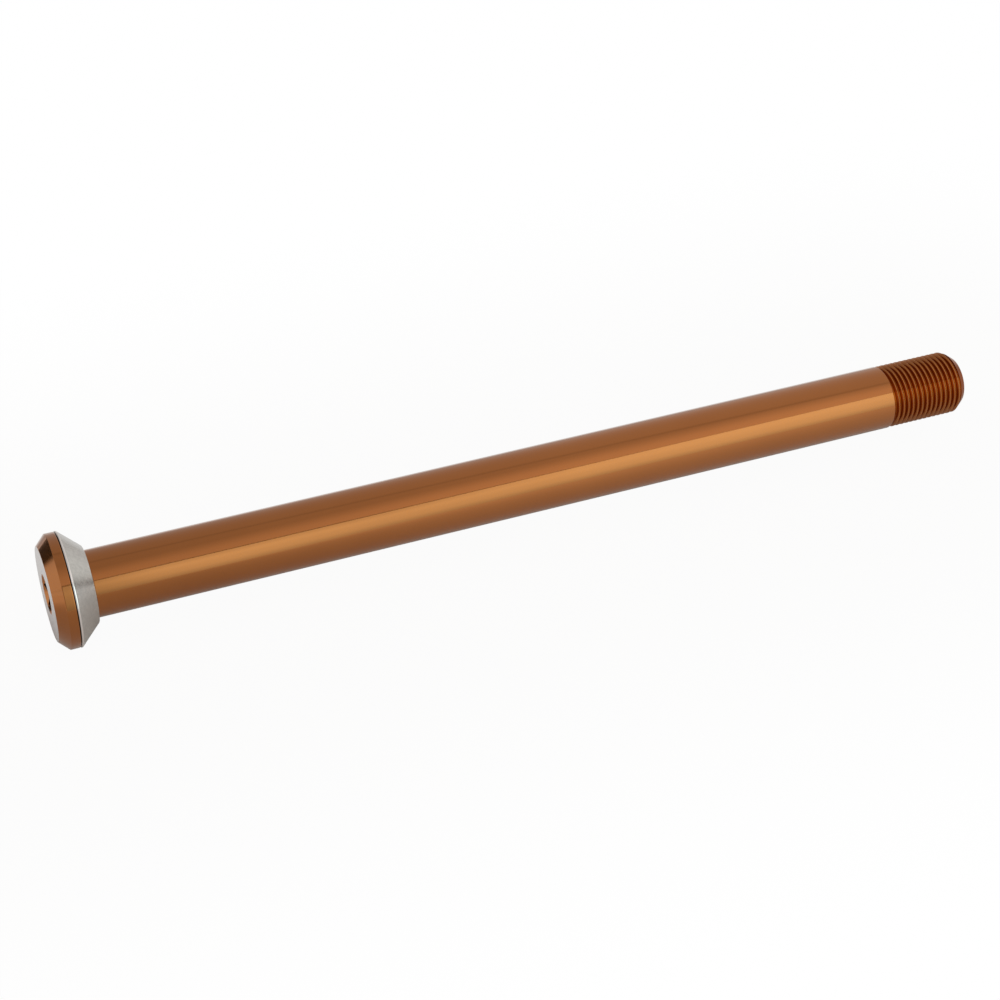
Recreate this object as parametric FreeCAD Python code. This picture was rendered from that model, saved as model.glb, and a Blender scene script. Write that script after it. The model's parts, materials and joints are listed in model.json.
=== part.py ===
import FreeCAD, Part
import math
import os

# Rear thru axle: a turned axle with a hex socket in its chamfered head, and a loose cone washer under it.
# Millimetres, +Z up. The axle lies along X, with its head at -X and its thread at +X.
# The origin is on the axis, in the plane under the head that the washer bears on.

# Head of the axle
HEAD_DIA = 20.5
HEAD_THICKNESS = 3.5
HEAD_CHAMFER = 1.8             # 45 degree chamfer around the front face
HEAD_BACK_BREAK = 0.15         # broken edge at the back of the rim

# Hex socket in the head
SOCKET_ACROSS_FLATS = 6.0
SOCKET_DEPTH = 7.0
SOCKET_LEAD_IN_DIA = 7.2       # of the 90 degree cone at the hexagon's mouth
SOCKET_TURN = 20.0             # degrees about the axis, from +Z to a corner of the hexagon

# Shank and thread
SHANK_DIA = 11.98              # 12 mm nominal, slides through the hub and the dropouts
UNDER_HEAD_LENGTH = 174.0      # from under the head to the tip
NECK_DEPTH = 0.2               # radial relief under the head, so that the washer seats flat and turns
NECK_RUN_OUT = 0.1             # length of the relief that shows beyond the washer
THREAD_LENGTH = 15.85          # M12 x 1.0, plain at its crests here; the tip's chamfer is part of it
THREAD_CREST_DROP = 0.04       # radial, below the shank, so that the thread passes where the shank slides
THREAD_RELIEF_WIDTH = 0.8      # groove between the shank and the first turn
THREAD_RELIEF_DEPTH = 0.6
THREAD_FLANK_ANGLE = 30.0      # degrees from straight across the axis
TIP_CHAMFER_LENGTH = 1.7
TIP_CHAMFER_DEPTH = 1.3

# Bore that lightens the shank, drilled from the threaded end
BORE_DIA = 6.5
BORE_WEB = 5.0                 # solid metal between the socket's floor and the drill point
BORE_MOUTH_CHAMFER = 0.4
DRILL_POINT_ANGLE = 118.0

# Cone washer
WASHER_OVERHANG = 0.05         # radial, of the washer's rim beyond the head's
WASHER_THICKNESS = 4.0
WASHER_RIM_LAND = 0.2          # cylindrical edge between the broken edge and the cone
WASHER_EDGE_BREAK = 0.15
WASHER_NOSE_WALL = 0.9         # around the bore at the small end of the cone
WASHER_NOSE_BREAK = 0.1
WASHER_BORE_CLEARANCE = 0.06   # radial running clearance on the shank
WASHER_BORE_BREAK = 0.2        # broken edge of the bore on the head's side


def drill_point(radius):
    """Depth of the cone that a twist drill leaves at the end of a hole."""
    return radius / math.tan(math.radians(DRILL_POINT_ANGLE / 2))


def turned(profile):
    """Solid of revolution about X: (x, r) corners of a closed profile, an arc as its mid and end points."""
    def point(x, r):
        return FreeCAD.Vector(x, 0, r)

    edges = []
    last = point(*profile[0])
    for step in profile[1:] + profile[:1]:
        if isinstance(step[0], tuple):
            middle, end = (point(*p) for p in step)
            edges.append(Part.Arc(last, middle, end).toShape())
        else:
            end = point(*step)
            edges.append(Part.LineSegment(last, end).toShape())
        last = end
    face = Part.Face(Part.Wire(edges))
    return face.revolve(FreeCAD.Vector(0, 0, 0), FreeCAD.Vector(1, 0, 0), 360)


def axle_body():
    """Outside of the axle, from the head's face to the tip."""
    head_r = HEAD_DIA / 2
    shank_r = SHANK_DIA / 2
    thread_r = shank_r - THREAD_CREST_DROP
    face_x = -HEAD_THICKNESS
    thread_x = UNDER_HEAD_LENGTH - THREAD_LENGTH
    neck_r = shank_r - NECK_DEPTH
    neck_end_x = WASHER_THICKNESS + NECK_RUN_OUT
    fillet_inset = NECK_DEPTH * (1 - math.cos(math.radians(45)))
    relief_r = thread_r - THREAD_RELIEF_DEPTH
    flank_slope = math.tan(math.radians(THREAD_FLANK_ANGLE))
    relief_end_x = thread_x + THREAD_RELIEF_WIDTH
    return turned([
        (face_x, 0),
        (face_x, head_r - HEAD_CHAMFER),
        (face_x + HEAD_CHAMFER, head_r),
        (-HEAD_BACK_BREAK, head_r),
        (0, head_r - HEAD_BACK_BREAK),
        (0, shank_r),
        ((fillet_inset, neck_r + fillet_inset), (NECK_DEPTH, neck_r)),
        (neck_end_x - NECK_DEPTH, neck_r),
        (neck_end_x, shank_r),
        (thread_x, shank_r),
        (thread_x + (shank_r - relief_r) * flank_slope, relief_r),
        (relief_end_x - THREAD_RELIEF_DEPTH * flank_slope, relief_r),
        (relief_end_x, thread_r),
        (UNDER_HEAD_LENGTH - TIP_CHAMFER_LENGTH, thread_r),
        (UNDER_HEAD_LENGTH, thread_r - TIP_CHAMFER_DEPTH),
        (UNDER_HEAD_LENGTH, 0),
    ])


def hexagon(x):
    """The socket's hexagon, across the axis at x."""
    corner_r = SOCKET_ACROSS_FLATS / math.sqrt(3)
    corners = []
    for number in range(6):
        turn = math.radians(SOCKET_TURN + 60 * number)
        corners.append(FreeCAD.Vector(x, -corner_r * math.sin(turn), corner_r * math.cos(turn)))
    return Part.makePolygon(corners + corners[:1])


def hex_socket():
    """Space of the socket: a broached hexagon on a drilled hole, with a conical lead-in at its mouth."""
    face_x = -HEAD_THICKNESS
    floor_x = face_x + SOCKET_DEPTH
    hole_r = SOCKET_ACROSS_FLATS / 2
    lead_in_r = SOCKET_LEAD_IN_DIA / 2
    broached = Part.Face(hexagon(face_x)).extrude(FreeCAD.Vector(SOCKET_DEPTH, 0, 0))
    lead_in = turned([(face_x, 0), (face_x, lead_in_r), (face_x + lead_in_r, 0)])
    point = turned([(floor_x, 0), (floor_x, hole_r), (floor_x + drill_point(hole_r), 0)])
    return broached.fuse([lead_in, point])


def bore():
    """Space of the lightening bore, from the tip to its drill point short of the socket."""
    bore_r = BORE_DIA / 2
    socket_end_x = -HEAD_THICKNESS + SOCKET_DEPTH + drill_point(SOCKET_ACROSS_FLATS / 2)
    point_x = socket_end_x + BORE_WEB
    mouth_x = UNDER_HEAD_LENGTH
    return turned([
        (point_x, 0),
        (point_x + drill_point(bore_r), bore_r),
        (mouth_x - BORE_MOUTH_CHAMFER, bore_r),
        (mouth_x, bore_r + BORE_MOUTH_CHAMFER),
        (mouth_x, 0),
    ])


def cone_washer():
    """Loose washer: flat against the head, thin rim, then a cone down to its nose."""
    rim_r = HEAD_DIA / 2 + WASHER_OVERHANG
    bore_r = SHANK_DIA / 2 + WASHER_BORE_CLEARANCE
    nose_r = bore_r + WASHER_NOSE_WALL
    return turned([
        (0, bore_r + WASHER_BORE_BREAK),
        (0, rim_r - WASHER_EDGE_BREAK),
        (WASHER_EDGE_BREAK, rim_r),
        (WASHER_EDGE_BREAK + WASHER_RIM_LAND, rim_r),
        (WASHER_THICKNESS - WASHER_NOSE_BREAK, nose_r),
        (WASHER_THICKNESS, nose_r - WASHER_NOSE_BREAK),
        (WASHER_THICKNESS, bore_r),
        (WASHER_BORE_BREAK, bore_r),
    ])


axle = axle_body().cut(hex_socket()).cut(bore())
parts = {"axle": axle, "cone_washer": cone_washer()}

os.makedirs("parts", exist_ok=True)
for name, shape in parts.items():
    solid = shape.Solids[0]
    assert len(shape.Solids) == 1 and solid.isValid(), name
    solid.exportStep(os.path.join("parts", name + ".step"))
    print(name, "volume", round(solid.Volume, 2), "mm3")
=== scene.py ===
import json
import math

import bmesh
import bpy
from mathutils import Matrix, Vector


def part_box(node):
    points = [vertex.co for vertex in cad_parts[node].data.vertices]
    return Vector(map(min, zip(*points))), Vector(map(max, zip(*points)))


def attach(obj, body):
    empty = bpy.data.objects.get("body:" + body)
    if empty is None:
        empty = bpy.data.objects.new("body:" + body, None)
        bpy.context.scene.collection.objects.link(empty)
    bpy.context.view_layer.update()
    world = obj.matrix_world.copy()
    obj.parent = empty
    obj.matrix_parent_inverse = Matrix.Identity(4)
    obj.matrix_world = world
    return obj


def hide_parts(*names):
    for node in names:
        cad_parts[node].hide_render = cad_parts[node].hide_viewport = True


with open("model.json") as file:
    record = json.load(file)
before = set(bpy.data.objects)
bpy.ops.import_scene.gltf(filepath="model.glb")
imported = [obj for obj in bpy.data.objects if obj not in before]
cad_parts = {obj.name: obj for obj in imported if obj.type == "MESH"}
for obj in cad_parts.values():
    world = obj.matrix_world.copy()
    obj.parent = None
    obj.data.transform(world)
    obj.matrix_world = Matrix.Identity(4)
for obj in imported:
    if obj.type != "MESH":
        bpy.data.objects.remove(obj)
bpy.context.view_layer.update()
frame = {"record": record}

# A rear thru axle, in metres: an anodised axle with a hex socket and a fine thread, and its cone washer.
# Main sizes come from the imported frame; the small ones below repeat the part's own.
MM = 0.001
MOUNTS = {mount["name"]: mount for mount in frame["record"]["mounts"]}
AXLE_LOW, AXLE_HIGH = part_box("axle")
_, WASHER_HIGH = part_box("cone_washer")

FACE_X = AXLE_LOW.x                           # front face of the head
TIP_X = AXLE_HIGH.x
HEAD_R = AXLE_HIGH.z
SHANK_R = MOUNTS["shank"]["dims"]["r_mm"] * MM
THREAD_R = MOUNTS["thread"]["dims"]["r_mm"] * MM  # at the crests
WASHER_R = WASHER_HIGH.z
WASHER_THICKNESS = WASHER_HIGH.x

HEAD_CHAMFER = 1.8 * MM
HEAD_BACK_BREAK = 0.15 * MM
SOCKET_FLAT_R = 3.0 * MM                      # half of the 6 mm across flats
SOCKET_DEPTH = 7.0 * MM
LEAD_IN_R = 3.6 * MM                          # of the 90 degree cone at the socket's mouth
SOCKET_TURN = 20.0                            # degrees from +Z to a corner
NECK_DEPTH = 0.2 * MM
NECK_RUN_OUT = 0.1 * MM
THREAD_LENGTH = 15.85 * MM
THREAD_RELIEF_WIDTH = 0.8 * MM
THREAD_RELIEF_DEPTH = 0.6 * MM
TIP_CHAMFER_LENGTH = 1.7 * MM
TIP_CHAMFER_DEPTH = 1.3 * MM
BORE_R = 3.25 * MM
BORE_WEB = 5.0 * MM
BORE_MOUTH_CHAMFER = 0.4 * MM
DRILL_SLOPE = math.tan(math.radians(59))      # radius for each unit of depth in a drill's cone
WASHER_RIM_LAND = 0.2 * MM
WASHER_EDGE_BREAK = 0.15 * MM
WASHER_NOSE_R = 6.95 * MM
WASHER_NOSE_BREAK = 0.1 * MM
WASHER_BORE_R = 6.05 * MM
WASHER_BORE_BREAK = 0.2 * MM

# Right-hand thread, M12 x 1.0
PITCH = 1.0 * MM
THREAD_DEPTH = 0.59 * MM
CREST_ROUND = 0.07                            # half-width of the rounded crests, in pitches
FLANK_SLOPE = math.tan(math.radians(30))      # along the axis, for each unit of depth
ROOT_BLEND = 0.03 * MM                        # roundness of the roots
CREST_AT_TOP = 159.03 * MM                    # x of the first crest where it passes +Z
FLANK_STEPS = (0.009, 0.03, 0.055, 0.085, 0.12, 0.18, 0.28, 0.37, 0.398, 0.412, 0.435)
TURN_STEPS = (                                # rows of one turn, in pitches from the middle of a crest
    -0.5, *(-step for step in reversed(FLANK_STEPS)), *FLANK_STEPS,
)

# What follows from these sizes
SOCKET_FLOOR_X = FACE_X + SOCKET_DEPTH
SOCKET_END_X = SOCKET_FLOOR_X + SOCKET_FLAT_R / DRILL_SLOPE
BORE_END_X = SOCKET_END_X + BORE_WEB
NECK_R = SHANK_R - NECK_DEPTH
NECK_END_X = WASHER_THICKNESS + NECK_RUN_OUT
THREAD_X = TIP_X - THREAD_LENGTH
RELIEF_R = THREAD_R - THREAD_RELIEF_DEPTH
RELIEF_X = THREAD_X + (SHANK_R - RELIEF_R) * FLANK_SLOPE  # start of the groove's floor
RELIEF_RISE_X = THREAD_X + THREAD_RELIEF_WIDTH - THREAD_RELIEF_DEPTH * FLANK_SLOPE  # and its end
TIP_CHAMFER_X = TIP_X - TIP_CHAMFER_LENGTH

# Mesh
COLUMNS = 180                                 # around the axis, so that hex corners fall on columns
CORNER_ROUND = 0.08 * MM                      # worn softness of the turned edges
WASHER_ROUND = 0.12 * MM
CORNER_STEPS = 4
CORNER_SHARE = 0.34                           # most of a side that one rounded corner takes
CORNER_HOLD = 1.4                             # from a corner to the points beside its arc, in reaches
LEAST_TURN = math.radians(5)                  # a corner flatter than this stays as it is
FACE_HOLD = 0.5 * MM                          # from the face's edge to the row inside it
MERGE_DISTANCE = 1e-4 * MM
SHARP_ANGLE = math.radians(30)
PLAIN, BARE, BROACHED, THREADED = range(4)    # the axle's materials, by their place in its mesh

# Materials: noise is given by scale and detail, and pairs are the ends of a range
BUMP_DISTANCE = 0.02 * MM
BRONZE = ((0.395, 0.120, 0.011), (0.425, 0.134, 0.015))
BRONZE_CLOUD = (90.0, 2.0)
BRONZE_MARKS = (2500.0, 3.0)
BRONZE_BUMP = 0.03
EDGE_TINT = (0.95, 0.86, 0.80)                # of the anodising where it is seen at a low angle
COAT_ROUGHNESS = 0.05
COAT_IOR = 1.5
PLAIN_ROUGHNESS = (0.08, 0.12)
PLAIN_COAT = (1.0, 1.0)                       # weight of the clear skin in a groove and out of it
NO_PAINTED_SHADE = (1.0, 1.0, 1.0)
THREAD_ROUGHNESS = (0.12, 0.18)
THREAD_COAT = (0.0, 0.8)
# painted shade: the thread's grooves are coloured darker and redder towards their roots
GROOVE_PAINTED_SHADE = (0.60, 0.40, 0.40)
GROOVE_EDGE = 0.08 * MM                       # depth at which the painted shade in a groove starts
# painted light: lighter and less red than the bronze outside, so that the socket looks lit
SOCKET_BRONZE_PAINTED_LIGHT = ((0.46, 0.180, 0.060), (0.52, 0.210, 0.080))
SOCKET_GRAIN = (3000.0, 3.0)
SOCKET_BUMP = 0.2
SOCKET_ROUGHNESS = (0.14, 0.20)
FACE_SHADES = (0.81, 0.93)
FACE_MARKS = (2200.0, 3.0)
FACE_BUMP = 0.15
FACE_ROUGHNESS = 0.38
WASHER_GREYS = ((0.54, 0.54, 0.525), (0.80, 0.80, 0.775))
WASHER_MOTTLE = (1800.0, 3.0)
WASHER_GRAIN = (5000.0, 2.0)
WASHER_BUMP = 0.12
WASHER_ROUGHNESS = (0.20, 0.30)
RIM_COLOUR = (0.95, 0.92, 0.90)
RIM_POLISH = 0.10                             # how much smoother the washer's rim is
PAINTED_JOINT_SHADE = 0.1                             # painted shade: level left on the washer's edge against the head

# Camera, which fits the photograph's view
IMAGE_WIDTH = 1000
FOCAL_PIXELS = 2225
SENSOR = 36.0
NEAR_CLIP = 0.01
CAMERA_AT = Vector((-36.59, -299.82, 246.63)) * MM
CAMERA_DOWN = 37.81                           # degrees below level
CAMERA_TURN = -21.23                          # degrees about +Z from looking along +Y

# Floor, which is partly plain white to the camera and in what the metal mirrors
FLOOR_Z = -WASHER_R
FLOOR_RADIUS = 1.5
FLOOR_SIDES = 96
FLOOR_COLOUR = (0.74, 0.70, 0.68)
FLOOR_WHITE = 0.95                            # share that the camera sees, over the shadow
FLOOR_WHITE_RISE = (0.02, 0.12)               # distances from the axle over which it becomes 1
FLOOR_WHITE_MIRRORED = 0.74                   # share that the metal mirrors, far from the object
FLOOR_SHADE_REACH = 0.030                     # of the axle's shade on the mirrored floor
FRONT_Y = (0.01, -0.01)                       # soft line from the floor behind to the floor in front
HEAD_SHADE_X = -0.010                         # where the mirrored floor in front is dimmest, by the head
HEAD_SHADE_REACH = 0.13
HEAD_SHADE = 0.12                             # what is left of it there
FLAG_SHADE_AT = (-0.022, 0.068)               # (x, y) where it is dim, in front of the dark card
FLAG_SHADE_REACH = 0.050
BEHIND_Y = (0.15, 0.03)                       # it is dim behind the first, and not before the second
BEHIND_SHADE = 0.15

# Softbox, an upright card in front
SOFTBOX_Y = -0.36
SOFTBOX_X = (0.0, 0.75)
SOFTBOX_TOP_HEIGHT = 45.5                     # degrees above level, seen from the axle
SOFTBOX_TINT = (1.0, 1.16, 1.13)
SOFTBOX_LEVELS = (0.92, 1.36, 1.54)           # at its foot, above it and towards its top
SOFTBOX_FOOT_START = FLOOR_Z - 0.02           # z from which it gets brighter upwards
SOFTBOX_FOOT_END = 0.28                       # share of its height at which the foot's dimness ends
SOFTBOX_UPPER = (0.2, 0.7)                    # shares of its height over which its upper level comes
SOFTBOX_LEFT_X = (0.015, 0.085)
SOFTBOX_LEFT_LEVELS = (0.45, 0.90)
SOFTBOX_RIGHT_X = (0.15, 0.28)
SOFTBOX_RIGHT_GAIN = 0.10
SOFTBOX_CORNER = 0.84                         # its upper left corner is dimmer
SOFTBOX_CORNER_X = (0.32, 0.15)
SOFTBOX_CORNER_HEIGHTS = (0.55, 0.9)          # as shares of its height

# Light tent, by direction: an X here is that part of a unit vector
TENT = (                                      # degrees and brightness: 0 in front, 90 overhead, 180 behind
    (-12, 0.56), (45, 0.56), (47, 1.02), (62, 0.94), (74, 0.77),
    (87, 0.61), (113, 0.61), (145, 0.60), (180, 0.58),
)
TENT_TINT = (1.0, 0.93, 0.88)
TENT_RISE_X = (0.05, 0.40)                    # it gets brighter to the right
TENT_RISE = (0.71, 1.02)
TENT_ENDS = (                                 # colours of its left and right ends, and where they come in
    ((0.88, 0.92, 0.96), (-0.70, -0.95)),
    ((0.68, 0.65, 0.61), (0.70, 0.95)),
)
TENT_WHITE_MIRRORED = 0.1                     # share of plain white in it, as the metal mirrors it
DARK_END_X = (0.985, 0.998)                   # dark opening at the right end
DARK_END_SHADE = 0.1
SEAM_PLANE = (-0.755, -0.562, 0.338)          # normal of the plane that its overhead seam lies in
SEAM_WIDTH = 0.05
SEAM_SHADE = 0.25
GAP_HEIGHT = 46.3                             # dark gap above the softbox, in degrees as above
GAP_HALF_WIDTHS = (1.3, 16.0)                 # in degrees, along most of it and at its right end
GAP_WIDENS_X = (0.60, 0.97)
GAP_EDGE = (1.1, 0.7)                         # from outside it to inside, in half-widths
GAP_SHADE = 0.22
GAP_FADES_OUT = (0.22, 0.41)
GAP_FADES_IN = (0.60, 0.75)
GAP_FADED = 0.1                               # what is left of it between

# Dark card that the head's chamfer mirrors
FLAG_FROM = (-0.020, 0.177)                   # (x, y) of its right end
FLAG_TO = (-0.138, 0.064)                     # and of its left end
FLAG_FADES = (0.062, 0.024)                   # lengths along X over which these ends fade out
FLAG_TOP = 0.055
FLAG_COLOUR = (0.12, 0.11, 0.10)


def softened(profile, roundness=CORNER_ROUND):
    """The (x, r) profile with its inner corners rounded, and a point just before and after each arc."""
    points = [Vector(p) for p in profile]
    out = [points[0]]
    for before, corner, after in zip(points, points[1:], points[2:]):
        into, away = before - corner, after - corner
        if math.pi - into.angle(away) < LEAST_TURN:
            out.append(corner)
            continue
        reach = min(roundness, CORNER_SHARE * into.length, CORNER_SHARE * away.length)
        start, end = corner + into.normalized() * reach, corner + away.normalized() * reach
        out.append(corner + into.normalized() * reach * CORNER_HOLD)
        for step in range(CORNER_STEPS + 1):
            t = step / CORNER_STEPS
            out.append(start * (1 - t) ** 2 + corner * 2 * t * (1 - t) + end * t ** 2)
        out.append(corner + away.normalized() * reach * CORNER_HOLD)
    return [tuple(p) for p in out] + [tuple(points[-1])]


def circle_row(x, radius):
    """One row of (x, r) for all columns, around the axis."""
    return [(x, radius)] * COLUMNS


def hexagon_row(x):
    """A row that follows the socket's hexagon."""
    row = []
    for column in range(COLUMNS):
        from_corner = (360 * column / COLUMNS - SOCKET_TURN) % 60
        row.append((x, SOCKET_FLAT_R / math.cos(math.radians(from_corner - 30))))
    return row


def lead_in_row():
    """The line where the cone at the socket's mouth meets the hexagon's walls."""
    return [(FACE_X + LEAD_IN_R - radius, radius) for _, radius in hexagon_row(FACE_X)]


def add_row(bm, row):
    """Vertices of a row. Columns go from +Z towards -Y, which is right-handed about +X."""
    verts = []
    for column, (x, radius) in enumerate(row):
        turn = 2 * math.pi * column / COLUMNS
        verts.append(bm.verts.new((x, -radius * math.sin(turn), radius * math.cos(turn))))
    return verts


def join_rows(bm, rows, shift=0, material=PLAIN):
    """Faces between rows of vertices. A helix joins its last column to the first, shift rows further on."""
    for index in range(len(rows) - 1):
        for column in range(COLUMNS):
            following = column + 1
            offset = 0
            if following == COLUMNS:
                following, offset = 0, shift
            if index + 1 + offset >= len(rows):
                continue
            face = bm.faces.new((
                rows[index][column],
                rows[index + 1][column],
                rows[index + 1 + offset][following],
                rows[index + offset][following],
            ))
            face.smooth = True
            face.material_index = material


def finished_piece(name, bm, body, node, materials):
    """Closes the mesh, and puts the piece on its body in place of the node."""
    bmesh.ops.remove_doubles(bm, verts=bm.verts, dist=MERGE_DISTANCE)
    bmesh.ops.dissolve_degenerate(bm, edges=bm.edges, dist=MERGE_DISTANCE)
    bmesh.ops.recalc_face_normals(bm, faces=bm.faces)
    mesh = bpy.data.meshes.new(name)
    bm.to_mesh(mesh)
    bm.free()
    mesh.set_sharp_from_angle(angle=SHARP_ANGLE)
    for material in materials:
        mesh.materials.append(material)
    piece = bpy.data.objects.new(name, mesh)
    bpy.context.scene.collection.objects.link(piece)
    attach(piece, body)
    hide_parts(node)


def thread_depth(from_crest):
    """Depth below the rounded crests, by the distance in pitches from the middle of one."""
    flank = (math.hypot(from_crest, CREST_ROUND) - CREST_ROUND) * PITCH / FLANK_SLOPE
    left = THREAD_DEPTH - flank
    return max(0.0, THREAD_DEPTH - 0.5 * (left + math.hypot(left, ROOT_BLEND)))


def thread_limit(x):
    """Radius that the thread is turned down to by the groove at its start and the chamfer at the tip."""
    rising = RELIEF_R + max(0.0, x - RELIEF_RISE_X) / FLANK_SLOPE
    falling = THREAD_R - max(0.0, x - TIP_CHAMFER_X) * TIP_CHAMFER_DEPTH / TIP_CHAMFER_LENGTH
    return min(rising, falling, THREAD_R)


def thread_rows():
    """Rows along the helix, held between the floor of the relief groove and the tip."""
    first_turn = math.floor((RELIEF_X - CREST_AT_TOP) / PITCH) - 1
    last_turn = math.ceil((TIP_X - CREST_AT_TOP) / PITCH) + 1
    rows = []
    for turn in range(first_turn, last_turn):
        for step in TURN_STEPS:
            row = []
            for column in range(COLUMNS):
                x = CREST_AT_TOP + (turn + step + column / COLUMNS) * PITCH
                x = min(max(x, RELIEF_X), TIP_X)
                row.append((x, min(THREAD_R - thread_depth(step), thread_limit(x))))
            rows.append(row)
    return rows


def socket_rows():
    """Rows of the socket, from its drilled point to the head's face."""
    return [
        circle_row(SOCKET_END_X, 0.0),
        circle_row(SOCKET_FLOOR_X, SOCKET_FLAT_R),
        hexagon_row(SOCKET_FLOOR_X),
        lead_in_row(),
        circle_row(FACE_X, LEAD_IN_R),
    ]


def outside_profile():
    """Head, neck and shank, from the head's face to the floor of the groove before the thread."""
    return softened([
        (FACE_X, HEAD_R - HEAD_CHAMFER - FACE_HOLD),
        (FACE_X, HEAD_R - HEAD_CHAMFER),
        (FACE_X + HEAD_CHAMFER, HEAD_R),
        (-HEAD_BACK_BREAK, HEAD_R),
        (0, HEAD_R - HEAD_BACK_BREAK),
        (0, NECK_R),
        (NECK_END_X - NECK_DEPTH, NECK_R),
        (NECK_END_X, SHANK_R),
        (THREAD_X, SHANK_R),
        (RELIEF_X, RELIEF_R),
    ])


def bore_profile():
    """Face of the tip and the bore, down to its drilled point."""
    return softened([
        (TIP_X, THREAD_R - TIP_CHAMFER_DEPTH),
        (TIP_X, BORE_R + BORE_MOUTH_CHAMFER),
        (TIP_X - BORE_MOUTH_CHAMFER, BORE_R),
        (BORE_END_X + BORE_R / DRILL_SLOPE, BORE_R),
        (BORE_END_X, 0.0),
    ])


def build_axle(bronze, bare, broached, threaded):
    """Anodised axle: socket, head, shank, thread and bore, turned from one bar."""
    bm = bmesh.new()
    profile = outside_profile()
    face_rows = 1 + next(index for index, point in enumerate(profile) if point[0] > FACE_X)
    socket = [add_row(bm, row) for row in socket_rows()]
    outside = [add_row(bm, circle_row(*point)) for point in profile]
    thread = [add_row(bm, row) for row in thread_rows()]
    bore = [add_row(bm, circle_row(*point)) for point in bore_profile()]
    join_rows(bm, socket, material=BROACHED)
    join_rows(bm, [socket[-1]] + outside[:face_rows], material=BARE)
    join_rows(bm, outside[face_rows - 1:])
    join_rows(bm, thread, shift=len(TURN_STEPS), material=THREADED)
    join_rows(bm, bore)
    finished_piece("turned_axle", bm, "axle", "axle", [bronze, bare, broached, threaded])


def build_washer(satin):
    """Loose washer: flat against the head, with a thin rim and a cone down to its nose."""
    bm = bmesh.new()
    corners = [
        (0, WASHER_BORE_R + WASHER_BORE_BREAK),
        (0, WASHER_R - WASHER_EDGE_BREAK),
        (WASHER_EDGE_BREAK, WASHER_R),
        (WASHER_EDGE_BREAK + WASHER_RIM_LAND, WASHER_R),
        (WASHER_THICKNESS - WASHER_NOSE_BREAK, WASHER_NOSE_R),
        (WASHER_THICKNESS, WASHER_NOSE_R - WASHER_NOSE_BREAK),
        (WASHER_THICKNESS, WASHER_BORE_R),
        (WASHER_BORE_BREAK, WASHER_BORE_R),
    ]
    profile = softened(corners + corners[:1], WASHER_ROUND)
    join_rows(bm, [add_row(bm, circle_row(*point)) for point in profile])
    finished_piece("turned_cone_washer", bm, "washer", "cone_washer", [satin])


class Nodes:
    """A node tree that is built by short calls."""

    def __init__(self, tree):
        self.tree = tree
        tree.nodes.clear()

    def add(self, kind, settings=None, **inputs):
        """A node with its settings and inputs; an input is a value or another node's output."""
        node = self.tree.nodes.new(kind)
        for name, value in (settings or {}).items():
            setattr(node, name, value)
        for name, value in inputs.items():
            socket = node.inputs[int(name[1:]) if name[0] == "_" else name.replace("_", " ")]
            if isinstance(value, bpy.types.NodeSocket):
                self.tree.links.new(value, socket)
            else:
                socket.default_value = value
        return node

    def math(self, operation, *values):
        """Result of a Math node."""
        inputs = {f"_{index}": value for index, value in enumerate(values)}
        return self.add("ShaderNodeMath", {"operation": operation}, **inputs).outputs[0]

    def product(self, first, *others):
        """All the values multiplied."""
        for other in others:
            first = self.math("MULTIPLY", first, other)
        return first

    def scaled(self, value, low, high):
        """A value from 0 to 1 brought to the range from low to high."""
        return self.math("MULTIPLY_ADD", value, high - low, low)

    def smooth(self, value, start, end):
        """0 before start, 1 after end, with a soft step between."""
        settings = {"interpolation_type": "SMOOTHSTEP"}
        return self.add("ShaderNodeMapRange", settings, _0=value, _1=start, _2=end).outputs[0]

    def ramp(self, value, stops):
        """Colour ramp with (place, level) stops, as a grey level."""
        node = self.add("ShaderNodeValToRGB", _0=value)
        elements = node.color_ramp.elements
        while len(elements) < len(stops):
            elements.new(0.5)
        for element, (place, level) in zip(elements, stops):
            element.position = place
            element.color = (level, level, level, 1)
        return node.outputs[0]

    def mix(self, share, first, second):
        """Colour between two, each an (r, g, b) or another node's output."""
        ends = [end if isinstance(end, bpy.types.NodeSocket) else (*end, 1) for end in (first, second)]
        return self.add("ShaderNodeMix", {"data_type": "RGBA"}, _0=share, _6=ends[0], _7=ends[1]).outputs[2]

    def vector(self, operation, first, second):
        """The node of a vector operation on two vectors."""
        return self.add("ShaderNodeVectorMath", {"operation": operation}, _0=first, _1=second)

    def dimmed(self, colour, level):
        """A colour times a level."""
        node = self.add("ShaderNodeVectorMath", {"operation": "SCALE"}, Vector=colour, Scale=level)
        return node.outputs["Vector"]

    def place(self):
        """Place on the object, in its own coordinates."""
        return self.add("ShaderNodeTexCoord").outputs["Object"]

    def split(self, vector):
        """The three parts of a vector."""
        return self.add("ShaderNodeSeparateXYZ", Vector=vector).outputs

    def noise(self, place, scale, detail):
        """Noise around 0.5."""
        return self.add("ShaderNodeTexNoise", Vector=place, Scale=scale, Detail=detail).outputs["Fac"]

    def bump(self, strength, height):
        """Normal of a surface with fine relief."""
        node = self.add("ShaderNodeBump", Strength=strength, Distance=BUMP_DISTANCE, Height=height)
        return node.outputs["Normal"]

    def metal(self, **inputs):
        """Ends a material's tree with a metal."""
        shader = self.add("ShaderNodeBsdfPrincipled", Metallic=1.0, **inputs)
        self.add("ShaderNodeOutputMaterial", Surface=shader.outputs[0])


def new_material(name):
    """An empty material and its node tree."""
    material = bpy.data.materials.new(name)
    material.use_nodes = True
    return material, Nodes(material.node_tree)


def from_axis(nodes, place):
    """Distance of a place from the axis."""
    split = nodes.split(place)
    squares = nodes.math("ADD", nodes.math("POWER", split["Y"], 2.0), nodes.math("POWER", split["Z"], 2.0))
    return nodes.math("SQRT", squares)


def turning_marks(nodes, place, radius, scale, detail):
    """Fine marks that a lathe leaves: noise drawn out around the axis."""
    along = nodes.add("ShaderNodeCombineXYZ", X=nodes.split(place)["X"], Y=radius).outputs[0]
    return nodes.noise(along, scale, detail)


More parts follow.
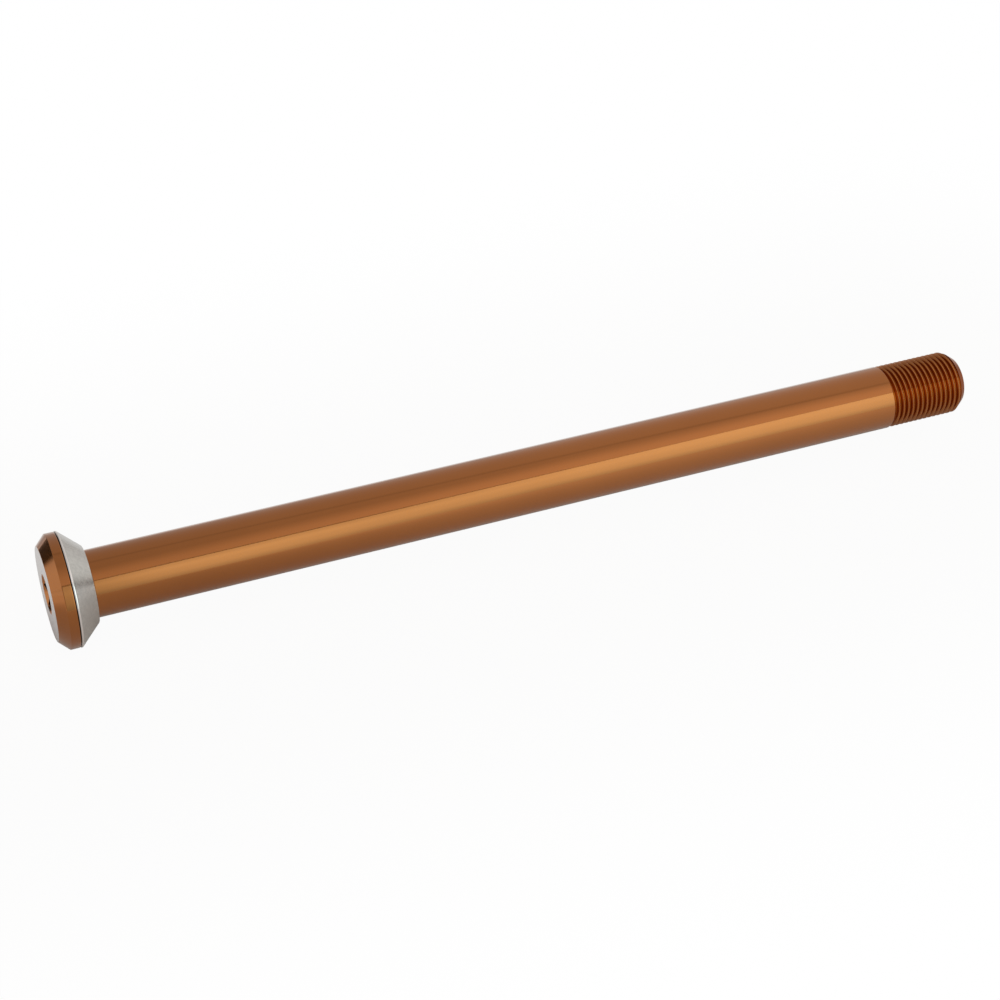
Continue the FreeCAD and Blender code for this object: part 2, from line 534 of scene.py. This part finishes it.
def bronze_anodised(name, roughness, coat, groove_painted_shade):
    """Copper-bronze anodising: a tinted metal under a clear skin, faintly turned, with painted shade that
    darkens the grooves.
    """
    material, nodes = new_material(name)
    place = nodes.place()
    radius = from_axis(nodes, place)
    marks = turning_marks(nodes, place, radius, *BRONZE_MARKS)
    out_of_groove = nodes.smooth(radius, THREAD_R - THREAD_DEPTH, THREAD_R - GROOVE_EDGE)
    colour = nodes.mix(nodes.noise(place, *BRONZE_CLOUD), *BRONZE)
    # painted shade: the colour gets darker and redder towards the bottom of a groove
    painted_groove_shade = nodes.mix(out_of_groove, groove_painted_shade, NO_PAINTED_SHADE)
    nodes.metal(
        Base_Color=nodes.vector("MULTIPLY", colour, painted_groove_shade).outputs["Vector"],
        Roughness=nodes.scaled(marks, *roughness),
        Specular_Tint=(*EDGE_TINT, 1),
        Coat_Weight=nodes.scaled(out_of_groove, *coat),
        Coat_Roughness=COAT_ROUGHNESS,
        Coat_IOR=COAT_IOR,
        Normal=nodes.bump(BRONZE_BUMP, marks),
    )
    return material


def broached_bronze():
    """Anodising on the socket's broached walls, which are rough, in a lighter and less red copy of the
    bronze: painted light in the socket.
    """
    material, nodes = new_material("bronze_broached")
    grain = nodes.noise(nodes.place(), *SOCKET_GRAIN)
    nodes.metal(
        Base_Color=nodes.mix(grain, *SOCKET_BRONZE_PAINTED_LIGHT),
        Roughness=nodes.scaled(grain, *SOCKET_ROUGHNESS),
        Normal=nodes.bump(SOCKET_BUMP, grain),
    )
    return material


def bare_face():
    """Faced aluminium at the front of the head: satin, with concentric tool marks."""
    material, nodes = new_material("bare_face")
    place = nodes.place()
    marks = turning_marks(nodes, place, from_axis(nodes, place), *FACE_MARKS)
    shade = nodes.scaled(marks, *FACE_SHADES)
    nodes.metal(
        Base_Color=nodes.add("ShaderNodeCombineColor", Red=shade, Green=shade, Blue=shade).outputs[0],
        Roughness=FACE_ROUGHNESS,
        Normal=nodes.bump(FACE_BUMP, marks),
    )
    return material


def satin_silver():
    """Blasted silver-grey metal of the washer: fine grain, a slight mottle, a brighter turned rim and
    painted shade on its edge against the head.
    """
    material, nodes = new_material("satin_silver")
    place = nodes.place()
    mottle = nodes.noise(place, *WASHER_MOTTLE)
    from_head = nodes.split(place)["X"]
    rim_end = WASHER_EDGE_BREAK + WASHER_RIM_LAND
    rim = nodes.smooth(from_head, rim_end + WASHER_ROUND, rim_end)
    # painted shade: the edge against the head is darkened, standing in for the shade in the joint
    clear_of_painted_joint_shade = nodes.smooth(from_head, 0.5 * WASHER_EDGE_BREAK, WASHER_EDGE_BREAK)
    colour = nodes.mix(rim, nodes.mix(mottle, *WASHER_GREYS), RIM_COLOUR)
    nodes.metal(
        Base_Color=nodes.dimmed(colour, nodes.scaled(clear_of_painted_joint_shade, PAINTED_JOINT_SHADE, 1.0)),
        Roughness=nodes.math("MULTIPLY_ADD", rim, -RIM_POLISH, nodes.scaled(mottle, *WASHER_ROUGHNESS)),
        Normal=nodes.bump(WASHER_BUMP, nodes.noise(place, *WASHER_GRAIN)),
    )
    return material


def seen_directly(nodes, direct, mirrored):
    """The direct share for what the camera sees, and the mirrored share for what metal or glass shows."""
    path = nodes.add("ShaderNodeLightPath").outputs
    bounced = nodes.math("MAXIMUM", path["Is Glossy Ray"], path["Is Transmission Ray"])
    return nodes.math(
        "MAXIMUM", nodes.product(path["Is Camera Ray"], direct), nodes.product(bounced, mirrored))


def mirrored_floor(nodes, place, aside):
    """White share of the mirrored floor, which is dim by the axle, the head and the card, and far behind."""
    split = nodes.split(place)
    shade = nodes.math("POWER", math.e, nodes.math("DIVIDE", aside, -FLOOR_SHADE_REACH))
    clear_of_axle = nodes.math("SUBTRACT", 1.0, shade)
    from_head = nodes.math("ABSOLUTE", nodes.math("SUBTRACT", split["X"], HEAD_SHADE_X))
    near_head = nodes.product(
        nodes.smooth(from_head, HEAD_SHADE_REACH, 0.0), nodes.smooth(split["Y"], *FRONT_Y))
    clear_of_head = nodes.scaled(near_head, 1.0, HEAD_SHADE)
    from_flag = nodes.vector("DISTANCE", place, (*FLAG_SHADE_AT, FLOOR_Z)).outputs["Value"]
    clear_of_flag = nodes.smooth(from_flag, 0.0, FLAG_SHADE_REACH)
    not_behind = nodes.scaled(nodes.smooth(split["Y"], *BEHIND_Y), BEHIND_SHADE, 1.0)
    return nodes.product(clear_of_axle, FLOOR_WHITE_MIRRORED, clear_of_head, clear_of_flag, not_behind)


def build_floor():
    """Round pale floor under the washer's rim, nearly white to the camera, with the object's soft shadow."""
    bpy.ops.mesh.primitive_circle_add(
        vertices=FLOOR_SIDES, radius=FLOOR_RADIUS, fill_type="NGON", location=(TIP_X / 2, 0, FLOOR_Z)
    )
    floor = bpy.context.object
    floor.name = "floor"
    material, nodes = new_material("pale_floor")
    plain = nodes.add("ShaderNodeBsdfDiffuse", Color=(*FLOOR_COLOUR, 1))
    white = nodes.add("ShaderNodeEmission", Color=(1, 1, 1, 1), Strength=1.0)
    place = nodes.add("ShaderNodeNewGeometry").outputs["Position"]
    nearest_x = nodes.add("ShaderNodeClamp", Value=nodes.split(place)["X"], Min=FACE_X, Max=TIP_X)
    nearest = nodes.add("ShaderNodeCombineXYZ", X=nearest_x.outputs[0], Z=FLOOR_Z).outputs[0]
    aside = nodes.vector("DISTANCE", place, nearest).outputs["Value"]
    direct = nodes.scaled(nodes.smooth(aside, *FLOOR_WHITE_RISE), FLOOR_WHITE, 1.0)
    share = seen_directly(nodes, direct, mirrored_floor(nodes, place, aside))
    mixed = nodes.add("ShaderNodeMixShader", _0=share, _1=plain.outputs[0], _2=white.outputs[0])
    nodes.add("ShaderNodeOutputMaterial", Surface=mixed.outputs[0])
    floor.data.materials.append(material)


def tent_colour(nodes, direction, height):
    """Colour of the tent's panels and ends by direction, with the seam overhead."""
    across = nodes.split(direction)["X"]
    turn_share = nodes.math("MULTIPLY_ADD", height, 0.5 / math.pi, 0.5)
    panels = nodes.ramp(turn_share, [(0.5 + degrees / 360, level) for degrees, level in TENT])
    brighter_right = nodes.scaled(nodes.smooth(across, *TENT_RISE_X), *TENT_RISE)
    to_seam = nodes.vector("DOT_PRODUCT", direction, SEAM_PLANE).outputs["Value"]
    from_seam = nodes.math("ABSOLUTE", to_seam)
    off_seam = nodes.scaled(nodes.smooth(from_seam, 0.0, SEAM_WIDTH), 1 - SEAM_SHADE, 1.0)
    colour = nodes.dimmed(TENT_TINT, nodes.product(panels, brighter_right, off_seam))
    for end_colour, comes_in in TENT_ENDS:
        colour = nodes.mix(nodes.smooth(across, *comes_in), colour, end_colour)
    return colour


def tent_level(nodes, direction, height):
    """Dimming of the tent: the gap above the softbox, which fades for a stretch, and the dark right end."""
    across = nodes.split(direction)["X"]
    half_gap = nodes.scaled(nodes.smooth(across, *GAP_WIDENS_X), *map(math.radians, GAP_HALF_WIDTHS))
    from_gap = nodes.math("ABSOLUTE", nodes.math("SUBTRACT", height, math.radians(GAP_HEIGHT)))
    off_gap = nodes.math("DIVIDE", from_gap, half_gap)
    faded = nodes.product(
        nodes.smooth(across, *GAP_FADES_OUT), nodes.smooth(across, *reversed(GAP_FADES_IN)))
    in_gap = nodes.product(nodes.smooth(off_gap, *GAP_EDGE), nodes.scaled(faded, 1.0, GAP_FADED))
    at_end = nodes.smooth(across, *DARK_END_X)
    return nodes.product(
        nodes.scaled(in_gap, 1.0, GAP_SHADE), nodes.scaled(at_end, 1.0, DARK_END_SHADE))


def build_world():
    """Soft light of a tent: panels overhead with a dark gap and a seam, and a pale backdrop."""
    world = bpy.data.worlds.new("studio")
    bpy.context.scene.world = world
    world.use_nodes = True
    nodes = Nodes(world.node_tree)
    direction = nodes.add("ShaderNodeTexCoord").outputs["Generated"]
    split = nodes.split(direction)
    height = nodes.math("ARCTAN2", split["Z"], nodes.math("MULTIPLY", split["Y"], -1.0))
    light = nodes.add(
        "ShaderNodeBackground",
        Color=tent_colour(nodes, direction, height),
        Strength=tent_level(nodes, direction, height),
    )
    white = nodes.add("ShaderNodeBackground", Color=(1, 1, 1, 1), Strength=1.0)
    share = seen_directly(nodes, 1.0, TENT_WHITE_MIRRORED)
    mixed = nodes.add("ShaderNodeMixShader", _0=share, _1=light.outputs[0], _2=white.outputs[0])
    nodes.add("ShaderNodeOutputWorld", Surface=mixed.outputs[0])


def standing_card(name, start, end, top, material):
    """Upright card from the floor to its top, between two (x, y) points; the camera doesn't see it."""
    mesh = bpy.data.meshes.new(name)
    corners = [(*start, FLOOR_Z), (*end, FLOOR_Z), (*end, top), (*start, top)]
    mesh.from_pydata(corners, [], [(0, 1, 2, 3)])
    mesh.materials.append(material)
    card = bpy.data.objects.new(name, mesh)
    bpy.context.scene.collection.objects.link(card)
    card.visible_camera = False
    card.visible_shadow = False
    return card


def build_softbox():
    """Large softbox in front: dimmer towards the floor, at its left end and in its upper left corner."""
    material, nodes = new_material("softbox")
    top = -SOFTBOX_Y * math.tan(math.radians(SOFTBOX_TOP_HEIGHT))
    upper_from, upper_to, corner_from, corner_to = (
        share * top for share in (*SOFTBOX_UPPER, *SOFTBOX_CORNER_HEIGHTS))
    place = nodes.split(nodes.place())
    foot, middle, upper = SOFTBOX_LEVELS
    above_foot = nodes.smooth(place["Z"], SOFTBOX_FOOT_START, SOFTBOX_FOOT_END * top)
    upward = nodes.math(
        "MULTIPLY_ADD", nodes.smooth(place["Z"], upper_from, upper_to), upper - middle,
        nodes.scaled(above_foot, foot, middle))
    left_end = nodes.scaled(nodes.smooth(place["X"], *SOFTBOX_LEFT_X), *SOFTBOX_LEFT_LEVELS)
    along = nodes.math(
        "MULTIPLY_ADD", nodes.smooth(place["X"], *SOFTBOX_RIGHT_X), SOFTBOX_RIGHT_GAIN, left_end)
    in_corner = nodes.product(
        nodes.smooth(place["X"], *SOFTBOX_CORNER_X), nodes.smooth(place["Z"], corner_from, corner_to))
    level = nodes.product(upward, along, nodes.scaled(in_corner, 1.0, SOFTBOX_CORNER))
    glow = nodes.add("ShaderNodeEmission", Color=(*SOFTBOX_TINT, 1), Strength=level)
    nodes.add("ShaderNodeOutputMaterial", Surface=glow.outputs[0])
    standing_card("softbox", (SOFTBOX_X[0], SOFTBOX_Y), (SOFTBOX_X[1], SOFTBOX_Y), top, material)


def build_flag():
    """Dark card at the left behind the head, which fades out at both ends."""
    material, nodes = new_material("dark_card")
    dark = nodes.add("ShaderNodeBsdfDiffuse", Color=(*FLAG_COLOUR, 1))
    clear = nodes.add("ShaderNodeBsdfTransparent")
    across = nodes.split(nodes.place())["X"]
    left_end = nodes.smooth(across, FLAG_TO[0], FLAG_TO[0] + FLAG_FADES[1])
    right_end = nodes.smooth(across, FLAG_FROM[0], FLAG_FROM[0] - FLAG_FADES[0])
    body = nodes.product(left_end, right_end)
    mixed = nodes.add("ShaderNodeMixShader", _0=body, _1=clear.outputs[0], _2=dark.outputs[0])
    nodes.add("ShaderNodeOutputMaterial", Surface=mixed.outputs[0])
    standing_card("flag", FLAG_FROM, FLAG_TO, FLAG_TOP, material).visible_diffuse = False


def build_camera():
    """Camera at the photograph's place."""
    camera = bpy.data.cameras.new("camera")
    camera.sensor_width = SENSOR
    camera.lens = SENSOR * FOCAL_PIXELS / IMAGE_WIDTH
    camera.clip_start = NEAR_CLIP
    holder = bpy.data.objects.new("camera", camera)
    holder.location = CAMERA_AT
    holder.rotation_euler = (math.radians(90 - CAMERA_DOWN), 0, math.radians(CAMERA_TURN))
    bpy.context.scene.collection.objects.link(holder)
    bpy.context.scene.camera = holder


build_axle(
    bronze_anodised("bronze_anodised", PLAIN_ROUGHNESS, PLAIN_COAT, NO_PAINTED_SHADE),
    bare_face(),
    broached_bronze(),
    bronze_anodised("bronze_thread", THREAD_ROUGHNESS, THREAD_COAT, GROOVE_PAINTED_SHADE),
)
build_washer(satin_silver())
build_floor()
build_world()
build_softbox()
build_flag()
build_camera()
bpy.context.scene.view_settings.view_transform = "Standard"
